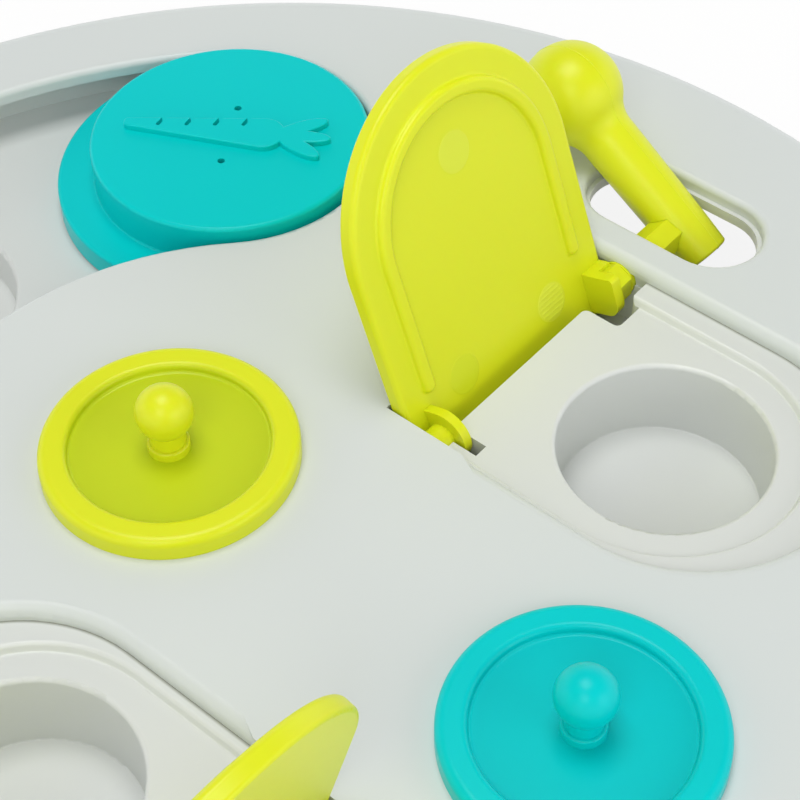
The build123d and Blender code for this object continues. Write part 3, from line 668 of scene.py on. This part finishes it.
@dataclass
class PhotoCamera:
    """The camera at the photograph's angle, fitted to the object in millimetres and degrees."""

    place_mm: Point = (127.08, -110.78, 226.28)
    yaw: float = 41.493
    pitch_down: float = 47.744
    roll: float = -1.391
    lens_mm: float = 87.39
    sensor_mm: float = 36.0
    near_mm: float = 10.0
    far_mm: float = 20000.0

    def build(self) -> None:
        """Add the camera and make it the scene's own."""
        data = bpy.data.cameras.new("photo_camera")
        data.sensor_width = self.sensor_mm
        data.lens = self.lens_mm
        data.clip_start = self.near_mm * MM
        data.clip_end = self.far_mm * MM
        camera = bpy.data.objects.new("photo_camera", data)
        turn = Matrix.Rotation(radians(self.yaw), 4, "Z")
        tilt = Matrix.Rotation(radians(90.0 - self.pitch_down), 4, "X")
        lean = Matrix.Rotation(radians(self.roll), 4, "Z")
        place = Matrix.Translation(Vector(self.place_mm) * MM)
        camera.matrix_world = place @ turn @ tilt @ lean
        bpy.context.scene.collection.objects.link(camera)
        bpy.context.scene.camera = camera


@dataclass(frozen=True)
class Softbox:
    """A square soft light that faces the board's middle."""

    name: str
    place_mm: Point
    size_mm: float
    watts: float

    def build(self) -> None:
        """Hang the light."""
        data = bpy.data.lights.new(self.name, "AREA")
        data.size = self.size_mm * MM
        data.energy = self.watts
        lamp = bpy.data.objects.new(self.name, data)
        lamp.location = Vector(self.place_mm) * MM
        lamp.rotation_euler = (-lamp.location).to_track_quat("-Z", "Y").to_euler()
        bpy.context.scene.collection.objects.link(lamp)


@dataclass
class Studio:
    """A white table top in a pale room, under an overhead light with softer ones beside it."""

    floor_mm: float = 6000.0
    floor_colour: str = "F8F8F6"
    floor_roughness: float = 0.6
    floor_white: float = 0.88
    white_strength: float = 1.0
    room_colour: str = "FFFFFF"
    wall_strength: float = 1.35
    wall_top: float = 10.0
    ceiling_strength: float = 0.2
    ceiling_start: float = 42.0
    lights: Sequence[Softbox] = (
        Softbox("overhead_softbox", (-90.0, 30.0, 950.0), size_mm=480.0, watts=4.6),
        Softbox("side_softbox", (850.0, 120.0, 420.0), size_mm=500.0, watts=1.2),
        Softbox("front_softbox", (330.0, -600.0, 740.0), size_mm=450.0, watts=2.4))

    def floor(self) -> None:
        """Lay the table top, white to the eye and in reflections, and shaded by the board."""
        half = self.floor_mm * MM / 2
        mesh = bpy.data.meshes.new("table_top")
        corners = [(-half, -half, 0), (half, -half, 0), (half, half, 0), (-half, half, 0)]
        mesh.from_pydata(corners, [], [(0, 1, 2, 3)])
        floor = bpy.data.objects.new("table_top", mesh)
        bpy.context.scene.collection.objects.link(floor)
        # White laminate: smooth and even. Most of it shows as plain white, and the rest is lit, so
        # that the board's shadow stays on it.
        material, tree = new_material("white_table_laminate")
        shader = add_node(tree, "ShaderNodeBsdfPrincipled", {
            "Base Color": linear(self.floor_colour), "Roughness": self.floor_roughness})
        glow = add_node(tree, "ShaderNodeEmission", {
            "Color": linear(self.room_colour), "Strength": self.white_strength})
        path = add_node(tree, "ShaderNodeLightPath")
        mirrored = add_node(tree, "ShaderNodeMath", {
            0: path.outputs["Is Glossy Ray"],
            1: path.outputs["Is Transmission Ray"]}, operation="MAXIMUM")
        seen = add_node(tree, "ShaderNodeMath", {
            0: path.outputs["Is Camera Ray"], 1: mirrored.outputs["Value"]}, operation="MAXIMUM")
        share = add_node(tree, "ShaderNodeMath", {
            0: seen.outputs["Value"], 1: self.floor_white}, operation="MULTIPLY")
        surface = add_node(tree, "ShaderNodeMixShader", {
            0: share.outputs["Value"], 1: shader.outputs["BSDF"], 2: glow.outputs["Emission"]})
        add_node(tree, "ShaderNodeOutputMaterial", {"Surface": surface.outputs["Shader"]})
        mesh.materials.append(material)

    def room(self) -> None:
        """Surround the board with white walls, seen in its edges, under a dimmer ceiling."""
        world = bpy.data.worlds.new("pale_room")
        world.use_nodes = True
        tree = world.node_tree
        tree.nodes.clear()
        view = add_node(tree, "ShaderNodeTexCoord")
        height = add_node(tree, "ShaderNodeSeparateXYZ", {0: view.outputs["Generated"]})
        strength = add_node(tree, "ShaderNodeMapRange", {
            "Value": height.outputs["Z"], "From Min": sin(radians(self.wall_top)),
            "From Max": sin(radians(self.ceiling_start)), "To Min": self.wall_strength,
            "To Max": self.ceiling_strength}, interpolation_type="SMOOTHSTEP")
        shade = add_node(tree, "ShaderNodeBackground", {
            "Color": linear(self.room_colour), "Strength": strength.outputs["Result"]})
        add_node(tree, "ShaderNodeOutputWorld", {"Surface": shade.outputs["Background"]})
        bpy.context.scene.world = world

    def build(self) -> None:
        """Set the table, the room and the lights."""
        self.floor()
        self.room()
        for light in self.lights:
            light.build()


def main() -> None:
    """Dress the board, then set its studio and camera."""
    logging.basicConfig(level=logging.INFO)
    bpy.context.scene.view_settings.view_transform = "Standard"
    wardrobe = Wardrobe.stocked()
    Shells.from_frame().dress(wardrobe)
    Slider().dress(wardrobe)
    # Each lid's last colour is the painted shade of its dish floor.
    LiftLid("lid_lime", "knob_lime", Finish.LIME, "BDCC14").dress(wardrobe)
    LiftLid("lid_teal", "knob_teal", Finish.TURQUOISE, "00BFC1").dress(wardrobe)
    for letter in ("a", "b"):
        flap = HingedFlap(letter)
        flap.build(wardrobe)
        flap.dress(wardrobe)
    Studio().build()
    PhotoCamera().build()


if __name__ == "__main__":
    main()
